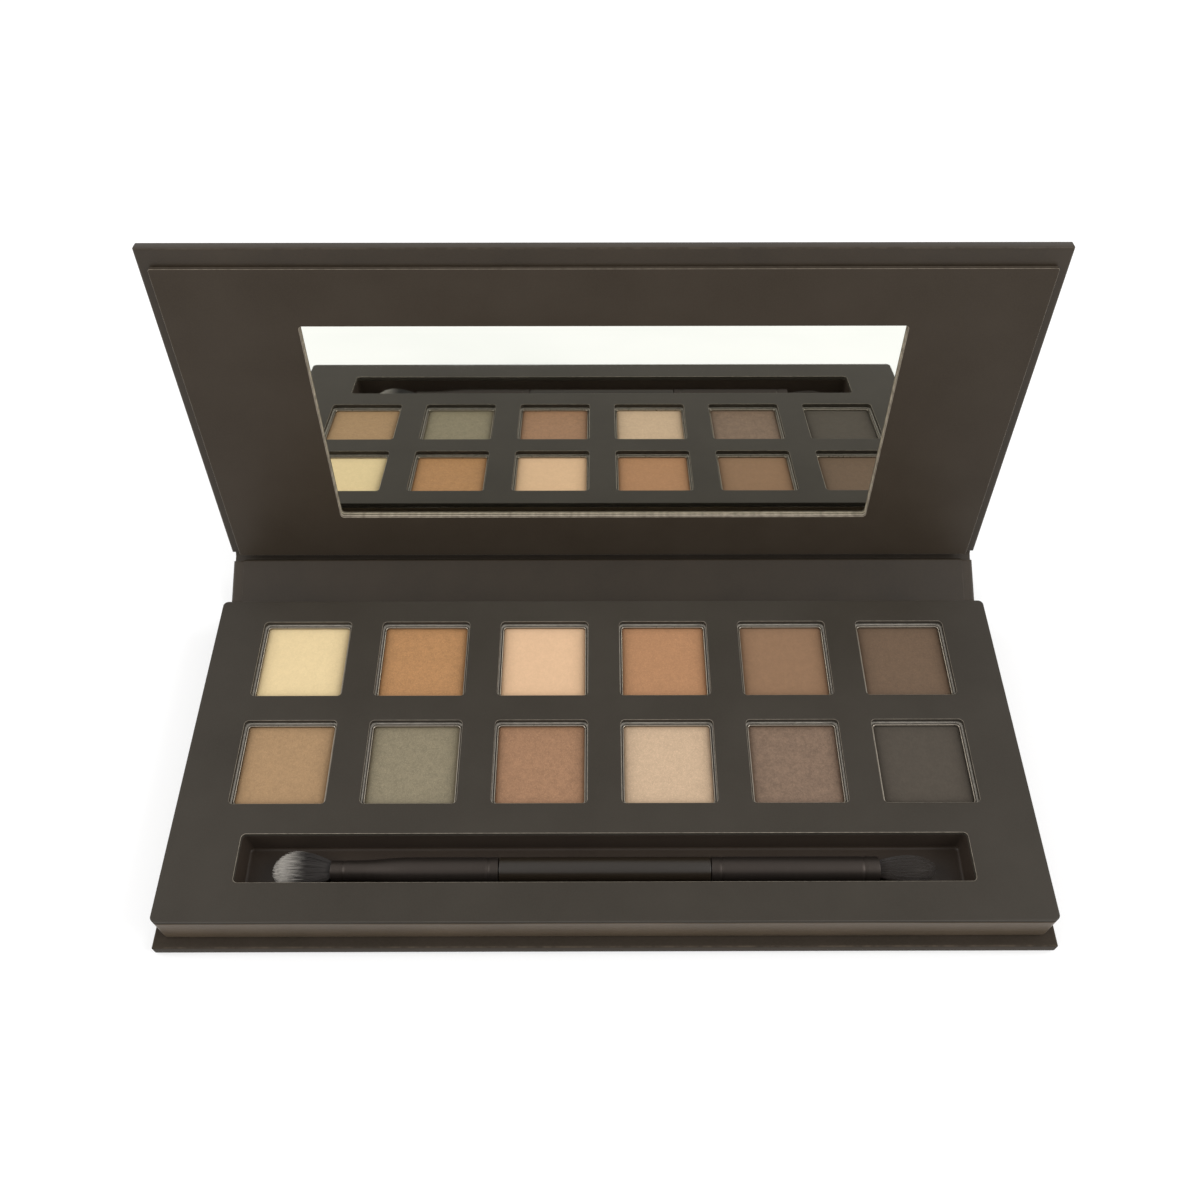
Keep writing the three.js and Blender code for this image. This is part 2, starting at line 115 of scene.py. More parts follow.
def placed(points, body):
    """Points drawn in a body's own directions, in the model's millimetres: turned, then shifted."""
    turn, shift = STAND[body]
    return points @ turn.T + shift


def measured(node, body="base"):
    """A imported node's lowest and highest corners in its body's own directions, in millimetres."""
    mesh = frame["nodes"][node].data
    points = np.empty(len(mesh.vertices) * 3)
    mesh.vertices.foreach_get("co", points)
    turn, shift = STAND[body]
    local = (points.reshape(-1, 3) / MM - shift) @ turn
    return local.min(0), local.max(0)


print("spine rises", round(math.degrees(spine_angle), 2), "degrees and is", round(spine_length, 2), "mm")

# %% [markdown]
# ## Shader helpers
# Every finish below is a node tree made in code, and these helpers keep them short: they add a node and
# fill its sockets, mix two colours, turn noise into a band of values, and turn heights into relief.
# Patterns read Object coordinates in metres, so a grain of a given size in millimetres has a scale of a
# thousand over that size.

# %% Node helpers


def paint(red, green, blue):
    """A colour given from 0 to 255 as a screen shows it, as the linear colour that a shader takes."""
    shown = np.array([red, green, blue]) / 255
    linear = np.where(shown <= 0.04045, shown / 12.92, ((shown + 0.055) / 1.055) ** 2.4)
    return (*linear, 1.0)


def scaled(colour, factor):
    """The same colour, lighter or darker."""
    return (*[min(1.0, value * factor) for value in colour[:3]], 1.0)


def node(tree, kind, inputs=None, **settings):
    """One shader node. inputs gives a socket either a plain value or another node's output."""
    made = tree.nodes.new("ShaderNode" + kind)
    for key, value in settings.items():
        setattr(made, key, value)
    for key, value in (inputs or {}).items():
        if isinstance(value, bpy.types.NodeSocket):
            tree.links.new(value, made.inputs[key])
        else:
            made.inputs[key].default_value = value
    return made


def blended(tree, factor, first, second):
    """Two colours mixed by a factor from 0 to 1."""
    colour_a, colour_b, colour_out = 6, 7, 2
    made = node(tree, "Mix", {0: factor, colour_a: first, colour_b: second}, data_type="RGBA")
    return made.outputs[colour_out]


def band(tree, value, low, high, to_low=0.0, to_high=1.0):
    """A value between low and high spread over another range, and held at its ends."""
    inputs = {"Value": value, "From Min": low, "From Max": high, "To Min": to_low, "To Max": to_high}
    return node(tree, "MapRange", inputs).outputs["Result"]


def grain(tree, size, detail=2.0, stretch=(1, 1, 1)):
    """Noise whose lumps are about this many millimetres across."""
    place = node(tree, "TexCoord").outputs["Object"]
    place = node(tree, "Mapping", {"Vector": place, "Scale": stretch}).outputs["Vector"]
    inputs = {"Vector": place, "Scale": 1 / (size * MM), "Detail": detail, "Roughness": 0.55}
    return node(tree, "TexNoise", inputs).outputs["Fac"]


def attribute(tree, name):
    """A number that the piece carries on its own points."""
    return node(tree, "Attribute", attribute_name=name).outputs["Fac"]


def summed(tree, *terms):
    """Several heights, each times its own weight, added up."""
    total = 0.0
    for height, weight in terms:
        inputs = {0: height, 1: weight, 2: total}
        total = node(tree, "Math", inputs, operation="MULTIPLY_ADD").outputs[0]
    return total


def bumped(tree, height, depth, strength=1.0):
    """A surface relief of this depth in millimetres."""
    inputs = {"Height": height, "Distance": depth * MM, "Strength": strength}
    return node(tree, "Bump", inputs).outputs["Normal"]


def finish(name, constants, build=None):
    """A material: constant numbers go straight on the shader's sockets, and build links the rest."""
    material = bpy.data.materials.new(name)
    material.use_nodes = True
    tree = material.node_tree
    shader = tree.nodes["Principled BSDF"]
    for key, value in constants.items():
        shader.inputs[key].default_value = value
    for key, socket in (build(tree) if build else {}).items():
        tree.links.new(socket, shader.inputs[key])
    return material


print("node helpers ready")

# %% [markdown]
# ## Wrapping paper and card
# The whole case is covered in one dark brown paper with a soft-touch film: almost no gloss, a faint grain
# and a slight bloom at grazing angles. The lining is drawn a little darker and the base paper a little
# lighter with next to no gloss, and the side paper round the tray much lighter: a painted reflection of the
# bright floor it faces. The card of the tray and the mirror frame is printed much the same but punched, so
# its pale core shows as a thin line wherever a blade went through, and that line also carries a painted
# highlight where the arris catches the light. Both could be one flat colour, but the eye finds paper by its
# grain and its edges, so the pieces carry an "edge" value on their points and the finish rubs or bares the
# paper there, unevenly; on the base paper the rubbed edge also carries a painted highlight along the arris.

# %% Paper, card and board finishes
paper_dark, paper_light = paint(47, 39, 29), paint(54, 45, 34)
# Pale rubbed paper: wear on the edges, and on the base paper a painted highlight along the arris.
rubbed_and_highlit_paper = paint(88, 78, 66)
# Pale card core, which also paints the highlight that a cut arris catches.
card_core_and_highlight = paint(196, 184, 166)
soft_film = {"Sheen Weight": 0.01, "Sheen Roughness": 0.5}


def wrapping(name, dark, light, rubbed_and_highlit, wear_and_highlight, tone=1.0, gloss=0.3):
    """Soft-touch paper: broad tone, fine grain in colour, gloss and relief, and rubbed edges, which on the
    base paper also paint a highlight along the arris.
    """

    def build(tree):
        cloud = band(tree, grain(tree, 14, 3), 0.3, 0.7)
        fibre = grain(tree, 0.35, 3, (0.6, 1, 1))
        colour = blended(tree, cloud, scaled(dark, tone), scaled(light, tone))
        colour = blended(tree, band(tree, fibre, 0.35, 0.75, 0, 0.35), colour, scaled(light, tone * 1.35))
        patchy = band(tree, grain(tree, 2.2, 4), 0.4, 0.65)
        # Rubbed edges: wear, and on the base paper a painted highlight along the lit arris.
        bared_and_highlit = node(tree, "Math", {0: attribute(tree, "edge"), 1: patchy}, operation="MULTIPLY")
        bared_and_highlit = node(tree, "Math", {0: bared_and_highlit.outputs[0], 1: wear_and_highlight}, operation="MULTIPLY")
        colour = blended(tree, bared_and_highlit.outputs[0], colour, rubbed_and_highlit)
        relief = summed(tree, (grain(tree, 0.18, 2), 0.6), (grain(tree, 5, 2), 2.5))
        return {
            "Base Color": colour,
            "Roughness": band(tree, fibre, 0.3, 0.7, 0.4, 0.5),
            "Normal": bumped(tree, relief, 0.02),
        }

    return finish(name, {"Specular IOR Level": gloss, **soft_film}, build)


def punched(name, dark, light, core, gloss):
    """Printed card: its pale core, with a painted highlight where the arris catches the light, shows where
    the edge value says so, and it's rough where a blade cut it.
    """

    def build(tree):
        cloud = band(tree, grain(tree, 18, 3), 0.3, 0.7)
        fibre = grain(tree, 0.3, 3)
        colour = blended(tree, cloud, dark, light)
        colour = blended(tree, band(tree, fibre, 0.35, 0.75, 0, 0.3), colour, scaled(light, 1.3))
        uneven = band(tree, grain(tree, 1.4, 4), 0.3, 0.62, 0.45, 1)
        # Pale where the edge value says so: the bared core, and a painted highlight on the arris.
        shown = node(tree, "Math", {0: attribute(tree, "edge"), 1: uneven}, operation="MULTIPLY")
        colour = blended(tree, shown.outputs[0], colour, core)
        relief = summed(tree, (grain(tree, 0.16, 2), 0.6), (grain(tree, 6, 2), 2.0))
        flat_rough = band(tree, fibre, 0.3, 0.7, 0.36, 0.44)
        cut_rough = band(tree, attribute(tree, "cut"), 0, 0.3, 0, 0.6)
        return {
            "Base Color": colour,
            "Roughness": summed(tree, (flat_rough, 1.0), (cut_rough, 1.0)),
            "Normal": bumped(tree, relief, 0.018),
        }

    return finish(name, {"Specular IOR Level": gloss, **soft_film}, build)


def pulp(name, colour):
    """Unprinted greyboard: pressed pulp with darker and lighter fibres."""

    def build(tree):
        fleck = grain(tree, 0.6, 5, (0.5, 1, 1))
        shade = blended(tree, band(tree, fleck, 0.35, 0.7), scaled(colour, 0.75), scaled(colour, 1.15))
        return {"Base Color": shade, "Normal": bumped(tree, fleck, 0.06)}

    return finish(name, {"Roughness": 0.92}, build)


wrap_finish = wrapping("wrapping paper", paper_dark, paper_light, rubbed_and_highlit_paper, 0.3)
lining_finish = wrapping("lining paper", paper_dark, paper_light, rubbed_and_highlit_paper, 0.9, 0.85)
# On the base paper the rubbed edge, at 0.6, is also a painted highlight along the arris of its front edge.
base_finish = wrapping("base paper", paint(54, 48, 41), paint(60, 53, 46), rubbed_and_highlit_paper, 0.6, 1.0, 0.02)
# The side paper is the wrap paper drawn 2.35 times lighter: a painted reflection of the bright floor its
# outward faces see.
side_painted_reflection_finish = wrapping("side paper", paper_dark, paper_light, rubbed_and_highlit_paper, 0.25, 2.35)
card_finish = punched("black card", paint(50, 45, 38), paint(56, 51, 44), card_core_and_highlight, 0.22)
liner_finish = punched("liner card", paint(56, 48, 39), paint(62, 54, 45), card_core_and_highlight, 0.12)
well_finish = punched("well card", paint(52, 43, 36), paint(58, 49, 41), card_core_and_highlight, 0.25)
board_finish = pulp("greyboard", paint(154, 148, 138))
print("paper, card and board finishes made")

# %% [markdown]
# ## Metal, glass, plastic and hair
# The pans are thin tinplate, the ferrules a satin dark metal with fine turning lines, the handle a
# half-gloss plastic. The mirror is a flat metal surface with next to no roughness and a few faint smears.
# Hair is coloured along its own length, which it carries as a value from root to tip, with a shade for each
# hair; the core in the middle of a head takes the darkest shade, painted shade where the hairs crowd.

# %% Metal, glass, plastic and hair finishes


def metal(name, colour, rough_low, rough_high, stretch=(1, 1, 1), constants=None):
    """Metal with drawn or turned lines: noise squeezed along one direction roughens it."""

    def build(tree):
        lines = grain(tree, 0.5, 3, stretch)
        tint = blended(tree, band(tree, lines, 0.3, 0.7), scaled(colour, 0.9), colour)
        return {
            "Base Color": tint,
            "Roughness": band(tree, lines, 0.3, 0.7, rough_low, rough_high),
            "Normal": bumped(tree, lines, 0.004),
        }

    return finish(name, {"Metallic": 1.0, **(constants or {})}, build)


def smeared_mirror(tree):
    """Silvered glass: roughness close to nothing, a little more where it was wiped."""
    smear = band(tree, grain(tree, 22, 3, (0.35, 1, 1)), 0.45, 0.75)
    tint = blended(tree, smear, paint(237, 238, 231), paint(231, 233, 226))
    return {"Base Color": tint, "Roughness": band(tree, smear, 0, 1, 0.012, 0.03)}


def moulded(tree):
    """Half-gloss plastic with the slow ripple of a moulded tube and fine dust in its gloss."""
    ripple = grain(tree, 3, 2, (0.3, 1, 1))
    dust = grain(tree, 0.3, 2)
    colour = blended(tree, band(tree, dust, 0.5, 0.8), paint(36, 29, 21), paint(42, 35, 27))
    rough = band(tree, dust, 0.3, 0.7, 0.3, 0.4)
    return {"Base Color": colour, "Roughness": rough, "Normal": bumped(tree, ripple, 0.01)}


def hair(name, root, tip, turn_low, turn_high):
    """Hair from its root's colour to its tip's, turning between two places along its length."""

    def build(tree):
        along = attribute(tree, "along")
        shade = attribute(tree, "shade")
        jitter = summed(tree, (along, 1.0), (shade, 0.26))
        turn = band(tree, jitter, turn_low, turn_high)
        colour = blended(tree, turn, root, tip)
        # Darker by each hair's shade value; the core's value of one makes it darkest, painted shade inside
        # the head.
        colour = blended(tree, band(tree, shade, 0, 1, 0, 0.4), colour, scaled(root, 0.6))
        return {"Base Color": colour}

    return finish(name, {"Roughness": 0.55, "Sheen Weight": 0.15, "Specular IOR Level": 0.4}, build)


def waxy(tree):
    """Adhesive film: milky, with small pulled bubbles."""
    bubble = grain(tree, 1.2, 3)
    colour = blended(tree, band(tree, bubble, 0.4, 0.7), paint(226, 222, 208), paint(240, 238, 230))
    return {"Base Color": colour, "Normal": bumped(tree, bubble, 0.03)}


tin_finish = metal("tinplate", paint(172, 163, 150), 0.26, 0.4, (1, 0.2, 1))
magnet_finish = metal("nickelled magnet", paint(190, 190, 192), 0.25, 0.4)
ferrule_finish = metal("satin ferrule", paint(62, 55, 50), 0.38, 0.5, (4, 0.15, 0.15), {"Metallic": 0.7})
mirror_finish = finish("silvered glass", {"Metallic": 1.0}, smeared_mirror)
handle_finish = finish("gloss handle", {"Coat Weight": 0.05, "Coat Roughness": 0.25}, moulded)
pale_hair = hair("pale tipped hair", paint(34, 28, 24), paint(192, 186, 177), 0.64, 0.86)
dark_hair = hair("dark hair", paint(50, 42, 36), paint(68, 60, 53), 0.5, 0.9)
tape_finish = finish("adhesive", {"Roughness": 0.55}, waxy)
print("metal, glass, plastic and hair finishes made")

# %% [markdown]
# ## Pressed powders
# Twelve shades: some matte, some with mica that glitters. A matte powder is rough and slightly mottled,
# with a fine crumb. A shimmer has the same crumb plus flakes: cells a sixth of a millimetre across, each
# lightened in colour by its own amount, pale mica and a painted glint, and a share of metal in the shader,
# so single flakes catch the light. The border of each cake is a little darker, where the press packs it
# and as painted shade from the rim.

# %% Powder finishes


def pressed(name, colour, shimmer, mottle):
    """One shade. shimmer runs from 0, matte, to 1, full of flakes; mottle is how uneven its colour is."""

    def build(tree):
        lumps = summed(tree, (grain(tree, 1.6, 4), 0.4), (grain(tree, 0.5, 3), 0.6))
        patch = band(tree, lumps, 0.38, 0.62)
        crumb = grain(tree, 0.13, 3)
        dark, light = scaled(colour, 1 - 1.6 * mottle), scaled(colour, 1 + 1.6 * mottle)
        shade = blended(tree, patch, dark, light)
        shade = blended(tree, band(tree, crumb, 0.3, 0.7, 0, 0.5), shade, scaled(colour, 0.86))
        place = node(tree, "TexCoord").outputs["Object"]
        flakes = node(tree, "TexVoronoi", {"Vector": place, "Scale": 1 / (0.16 * MM)})
        # Flakes lightened in colour: pale mica and a painted glint.
        painted_flake_glint = band(tree, flakes.outputs["Color"], 0.55, 1, 0, 0.5 * shimmer)
        shade = blended(tree, painted_flake_glint, shade, scaled(colour, 1.7))
        border = band(tree, attribute(tree, "edge"), 0, 1, 0, 0.5)
        shade = blended(tree, border, shade, scaled(colour, 0.6))
        facets = flakes.outputs["Distance"]
        relief = summed(tree, (crumb, 1.0), (patch, 0.5), (facets, 0.9 * shimmer))
        return {"Base Color": shade, "Normal": bumped(tree, relief, 0.035)}

    constants = {"Metallic": 0.32 * shimmer, "Roughness": 0.92 - 0.4 * shimmer, "Sheen Weight": 0.03}
    return finish(name, constants, build)


powder_tone = 0.86
POWDERS = [
    ("tan", (174, 140, 101), 0.6, 0.07),
    ("olive", (143, 132, 107), 0.9, 0.09),
    ("rose", (167, 126, 94), 0.9, 0.09),
    ("champagne", (210, 181, 150), 0.7, 0.05),
    ("plum", (132, 108, 89), 0.9, 0.15),
    ("charcoal", (78, 70, 60), 0.0, 0.06),
    ("cream", (241, 216, 166), 0.0, 0.03),
    ("bronze", (188, 139, 91), 0.8, 0.08),
    ("peach", (233, 193, 154), 0.0, 0.03),
    ("copper", (185, 136, 96), 0.6, 0.05),
    ("brown", (147, 113, 84), 0.0, 0.04),
    ("cocoa", (111, 88, 67), 0.5, 0.06),
]
powder_finishes = [
    pressed(name + " powder", scaled(paint(*colour), powder_tone), shimmer, mottle)
    for name, colour, shimmer, mottle in POWDERS
]
print(len(powder_finishes), "powder finishes made")

# %% [markdown]
# ## From arrays to a piece
# Every shape below ends as an array of points and arrays of faces. One function turns them into a mesh
# object at the origin, with the values its finish reads, hands it to a body and hides the imported parts it
# stands for.
# Smooth shading with sharp edges kept by angle makes round edges look round and flat faces stay flat.

# %% Piece helper
smooth_below = math.radians(38)
made_pieces = []


def piece(name, points, faces, finish_used, body, stands_for=(), values=None):
    """A mesh from points in millimetres, already in place, riding on a body."""
    mesh = bpy.data.meshes.new(name)
    mesh.from_pydata((np.asarray(points) * MM).tolist(), [], faces)
    for key, value in (values or {}).items():
        layer = mesh.attributes.new(key, "FLOAT", "POINT")
        layer.data.foreach_set("value", np.asarray(value, np.float32).ravel())
    mesh.shade_smooth()
    mesh.set_sharp_from_angle(angle=smooth_below)
    mesh.materials.append(finish_used)
    made = bpy.data.objects.new(name, mesh)
    bpy.context.scene.collection.objects.link(made)
    if isinstance(body, str):
        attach(made, body)
    if stands_for:
        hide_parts(*stands_for)
    made_pieces.append(made)
    return made


def ring_faces(stations, around, closed=False):
    """Quads between neighbouring stations of a tube whose sections have this many points each."""
    step = np.arange(stations if closed else stations - 1)[:, None]
    point = np.arange(around)[None, :]
    after, beside = (step + 1) % stations, (point + 1) % around
    quads = [step * around + point, step * around + beside, after * around + beside, after * around + point]
    return np.stack(quads, -1).reshape(-1, 4)


print("piece helper ready")

# %% [markdown]
# ## Flat goods: outlines carried through a profile
# Covers, cards, pans and the well are all the same kind of shape: round-cornered rectangles, some of them
# holes, carried up through a profile. Extruding and bevelling a curve could do it, but then the edge is
# only what the bevel gives. Here the profile is a list of stations, each an inset and a height, so a
# folded paper shell, a punched card with a rolled arris and a drawn tin pan are three short lists.

# %% Outlines and boards
CORNER, SIDE = 8, 1
least_radius = 0.05


def outlines(rects, insets, side_steps=SIDE):
    """Round-cornered rectangles, one row of points per station and rectangle.

    A corner point is the corner's centre plus the radius times (cosine, sine) of an angle over a quarter
    turn. An inset shrinks an outer outline and widens a window, and the radius follows. Side points lie
    evenly between two corners. A window runs the other way round, so its wall faces into the hole."""
    x, y, half_x, half_y, radius, way = np.asarray(rects, float)[:, :6].T[:, None, :, None, None]
    inset = np.asarray(insets, float)[:, None, None, None] * way
    r = np.maximum(radius - inset, least_radius)
    angle = (np.arange(4)[:, None] + np.linspace(0, 1, CORNER)) * np.pi / 2
    sign_x, sign_y = np.array([[1, -1, -1, 1], [1, 1, -1, -1]])[:, :, None]
    corner_x = x + sign_x * (half_x - inset - r) + r * np.cos(angle)
    corner_y = y + sign_y * (half_y - inset - r) + r * np.sin(angle)
    corners = np.stack([corner_x, corner_y], -1)
    following = np.roll(corners, -1, axis=2)[:, :, :, :1]
    share = (np.arange(side_steps) + 1)[:, None] / (side_steps + 1)
    sides = corners[:, :, :, -1:] * (1 - share) + following * share
    loops = np.concatenate([corners, sides], axis=3)
    loops = loops.reshape(loops.shape[0], loops.shape[1], -1, 2)
    windows = np.asarray(rects)[:, 5] < 0
    loops[:, windows] = loops[:, windows, ::-1]
    return loops


def filled(loops):
    """Triangles that fill an outline and leave its windows open."""
    return tessellate_polygon([[Vector((*point, 0)) for point in loop] for loop in loops])


def board(name, rects, profile, finish_used, body, stands_for=(), side_steps=SIDE, open_ring=False,
          reshape=None):
    """Outlines carried through a profile of (inset, height, arris, wall) stations.

    Every outline is moved by a station's inset and lifted to its height. Neighbouring stations are joined
    with quads. The first and last are filled, or joined to each other where the section is a closed ring.
    The edge value is the station's arris and wall parts times what the outline says it shows of each, and
    the cut value is the wall part alone."""
    rects, profile = np.asarray(rects, float), np.asarray(profile, float)
    loops = outlines(rects, profile[:, 0], side_steps)
    stations, windows, around = loops.shape[:3]
    height = np.broadcast_to(profile[:, 1, None, None, None], (stations, windows, around, 1))
    points = np.concatenate([loops, height], -1).reshape(-1, 3)
    edge = profile[:, 2, None, None] * rects[:, 6, None] + profile[:, 3, None, None] * rects[:, 7, None]
    edge = np.broadcast_to(edge, (stations, windows, around)).ravel()
    cut = np.repeat(profile[:, 3], windows * around)
    one = ring_faces(stations, around, open_ring)
    row, column = one // around, one % around
    quads = [row * windows * around + window * around + column for window in range(windows)]
    faces = np.concatenate(quads).tolist()
    if not open_ring:
        last = (stations - 1) * windows * around
        faces += [tri[::-1] for tri in filled(loops[0])]
        faces += [[last + corner for corner in tri] for tri in filled(loops[-1])]
    if reshape:
        points = reshape(points)
    return piece(name, placed(points, body), faces, finish_used, body, stands_for,
                 {"edge": edge, "cut": cut})


def arc(inset, height, radius, start, stop, steps=4, arris=1.0, wall=0.0):
    """Stations on a round edge: centre less the radius times cosine inwards, plus it times sine upwards.

    The arris value swells along half a sine: full in the middle of the edge and gone at its ends."""
    angle = np.radians(np.linspace(start, stop, steps + 1))
    stations = np.zeros((steps + 1, 4))
    stations[:, 0] = inset - radius * np.cos(angle)
    stations[:, 1] = height + radius * np.sin(angle)
    stations[:, 2] = arris * np.sin(np.linspace(0, np.pi, steps + 1))
    stations[:, 3] = wall
    return stations


def rectangle(low, high, radius, way=1, arris=1.0, wall=1.0):
    """One outline between two corners: way is 1 for an outer edge and -1 for a window."""
    middle, half = (low[:2] + high[:2]) / 2, (high[:2] - low[:2]) / 2
    return [*middle, *half, radius, way, arris, wall]


print("flat goods helpers ready")

# %% [markdown]
# ## Wrapped boards
# A case maker glues paper round each board and folds it over onto the inside, about 13 mm deep. So a cover
# is a thin shell with a soft edge, open where the turned-in paper stops. The profile starts in the middle
# of the outer face, rounds both edges, runs in over the turn-in, and comes back along the inside.

# %% Covers
paper = 0.3
cover_round = 0.4
cover_corner = 0.2
turn_in, spine_turn_in = 13, 4
support = 0.35


def cover_profile(low, high, fold_over):
    """The shell's section: outer face, two round edges, the turn-in, then back along the inside."""
    inner = cover_round - paper
    return np.concatenate([
        [[cover_round + support, low, 0, 0]],
        arc(cover_round, low + cover_round, cover_round, -90, 0),
        arc(cover_round, high - cover_round, cover_round, 0, 90),
        [[cover_round + support, high, 0, 0]],
        [[fold_over - support, high, 0, 0], [fold_over, high, 1, 0], [fold_over, high - paper, 1, 0]],
        arc(cover_round, high - cover_round, inner, 90, 0, 2, 0),
        arc(cover_round, low + cover_round, inner, 0, -90, 2, 0),
        [[cover_round + support, low + paper, 0, 0]],
    ])


def cover(name, node_name, body, fold_over, paper_finish=wrap_finish):
    """A wrapped board's paper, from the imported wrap's own size."""
    low, high = measured(node_name, body)
    shape = [rectangle(low, high, cover_corner)]
    profile = cover_profile(low[2], high[2], fold_over)
    return board(name, shape, profile, paper_finish, body, [node_name], side_steps=3)


cover("base_cover", "base_wrap", "base", turn_in, base_finish)
cover("lid_cover", "lid_wrap", "lid", turn_in)
cover("spine_cover", "spine_wrap", "spine", spine_turn_in)
print("covers:", [made.name for made in made_pieces])

# %% [markdown]
# ## The tray's side paper
# A strip of paper runs round the tray under the top card. It was cut and glued by hand, so its upper edge
# isn't quite straight: it dips by up to a third of a millimetre along its length, and that thin wavy
# shadow is the seam seen along the front. A sum of three slow sine waves makes the wander.

# %% Side paper
tray_radius = 1.2
seam_drop, seam_reach, seam_edge = 0.34, 1.2, 0.5
side_foot, seam_round = 0.15, 0.12
wave_middle, depth_share = 0.5, 1.7
WAVES = [(0.22, 9.1, 0), (0.18, 17.3, 1), (0.1, 3.7, 2)]
side_low, side_high = measured("tray_wrap")


def wander(points):
    """Slow waves along the strip: three sines of the distance across and along, from 0 to 1."""
    s = points[:, 0] + depth_share * points[:, 1]
    return wave_middle + sum(height * np.sin(s / length + phase) for height, length, phase in WAVES)


def uneven_top(points):
    """Lowers the strip's upper edge by the wander times the drop, less and less further down."""
    near_top = np.clip((points[:, 2] - side_high[2] + seam_reach) / seam_reach, 0, 1) ** 2
    moved = points.copy()
    moved[:, 2] -= seam_drop * near_top * wander(points)
    return moved


side_profile = np.concatenate([
    arc(side_foot, side_low[2] + side_foot, side_foot, -90, 0, 2),
    [[0, side_high[2] - seam_reach, 0, 0], [0, side_high[2] - seam_edge, 0, 0]],
    arc(seam_round, side_high[2] - seam_round, seam_round, 0, 90, 3),
    [[paper, side_high[2], 1, 0], [paper, side_high[2] - seam_reach, 0, 0], [paper, side_low[2], 0, 0]],
])
side_paper = board("tray_side_paper", [rectangle(side_low, side_high, tray_radius)], side_profile,
                   side_painted_reflection_finish, "base", ["tray_wrap"], side_steps=90, open_ring=True,
                   reshape=uneven_top)
print("side paper:", len(side_paper.data.polygons), "faces")

# %% [markdown]
# ## The top card and the well
# The card over the tray is punched in one stroke: twelve windows and a long slot. The blade rolls the upper
# arris slightly and bares the core there, and the pale colour there is also a painted highlight of the light
# the arris catches, while the wall below stays dark with rubbed ink. The windows are measured from the pans,
# and the slot from the folded card trough that lines it.

# %% Top card and well
card_radius, window_radius = 1.2, 1.0
pan_gap, trough_wall = 0.35, 0.5
arris_round = 0.08
under_round = 0.05


def punched_profile(low, high):
    """A punched card's section: a barely broken lower edge, a cut wall, and a rolled upper arris."""
    return np.concatenate([
        [[under_round + support, low, 0, 0]],
        arc(under_round, low + under_round, under_round, -90, 0, 1, 0, 1),
        arc(arris_round, high - arris_round, arris_round, 0, 90, 4, 1, 0),
        [[arris_round + support, high, 0, 0]],
    ])


card_low, card_high = measured("face_card")
well_low, well_high = measured("brush_trough")
PANS = range(1, 13)

# The window and slot arris values paint the upper arris pale: bare core and a painted highlight.
card_shape = [rectangle(card_low, card_high, card_radius, arris=0.06, wall=0.0)]
for number in PANS:
    low, high = measured(f"pan_{number}")
    card_shape.append(rectangle(low - pan_gap, high + pan_gap, window_radius, -1, arris=0.6, wall=0.03))
slot_low, slot_high = well_low + trough_wall, well_high - trough_wall
card_shape.append(rectangle(slot_low, slot_high, window_radius, -1, arris=0.85, wall=0.03))
top_card = board("top_card", card_shape, punched_profile(card_low[2], card_high[2]), card_finish,
                 "base", ["face_card"], side_steps=3)

floor_round, well_foot = 0.6, 0.2
well_profile = np.concatenate([
    [[well_foot + support, well_low[2], 0, 0]],
    arc(well_foot, well_low[2] + well_foot, well_foot, -90, 0, 2, 0),
    [[0, well_high[2], 0, 0], [trough_wall, well_high[2], 0, 0]],
    arc(trough_wall + floor_round, well_low[2] + trough_wall + floor_round, floor_round, 0, -90, 4, 0),
    [[trough_wall + floor_round + support, well_low[2] + trough_wall, 0, 0]],
])
board("well_card", [rectangle(well_low, well_high, window_radius + trough_wall)], well_profile,
      well_finish, "base", ["brush_trough"], side_steps=3)
print("top card:", len(top_card.data.polygons), "faces with", len(card_shape) - 1, "holes")

# %% [markdown]
# ## The mirror's liner
# A frame of thick card covers the mirror's edge. Its window is cut right through, and the lower wall of
# that window faces up like a ledge, so the pale core shows there as the brightest line of the lid. The
# outer edge is inked over and only its arris is pale: bare core, and a painted highlight where it catches
# the light.

# %% Liner
mirror_lap = 2.6
liner_corner, liner_window_corner = 0.5, 0.8
mirror_low, mirror_high = measured("mirror", "lid")
liner_low, liner_high = measured("lid_liner", "lid")
# The outer arris value paints it pale: bare core and a painted highlight.
liner_shape = [
    rectangle(liner_low, liner_high, liner_corner, arris=0.5, wall=0.06),
    rectangle(mirror_low + mirror_lap, mirror_high - mirror_lap, liner_window_corner, -1),
]
board("mirror_liner", liner_shape, punched_profile(liner_low[2], liner_high[2]), liner_finish,
      "lid", ["lid_liner"], side_steps=3)
print("liner window", [round(float(v), 1) for v in (mirror_high - mirror_low - 2 * mirror_lap)[:2]], "mm")

# %% [markdown]
# ## Pans
# Each pan is drawn from tinplate: a flat bottom, a soft bend, a straight wall and a plain rim that the
# press leaves rounded. One profile does all twelve. It starts under the pan, goes over the rim and ends on
# the inside bottom, so the wall has its real thickness.

# %% Pans
tin = 0.35
pan_bend = 0.5
pan_low, pan_high = measured("pan_1")
rim = tin / 2
pan_profile = np.concatenate([
    [[pan_bend + support, pan_low[2], 0, 0]],
    arc(pan_bend, pan_low[2] + pan_bend, pan_bend, -90, 0, 3, 0),
    arc(rim, pan_high[2] - rim, rim, 0, 180, 6, 1),
    arc(pan_bend, pan_low[2] + pan_bend, pan_bend - tin, 0, -90, 2, 0),
    [[pan_bend + support, pan_low[2] + tin, 0, 0]],
])
for number in PANS:
    low, high = measured(f"pan_{number}")
    board(f"tin_pan_{number}", [rectangle(low, high, window_radius)], pan_profile, tin_finish, "base",
          [f"pan_{number}"])
print(len(PANS), "pans")

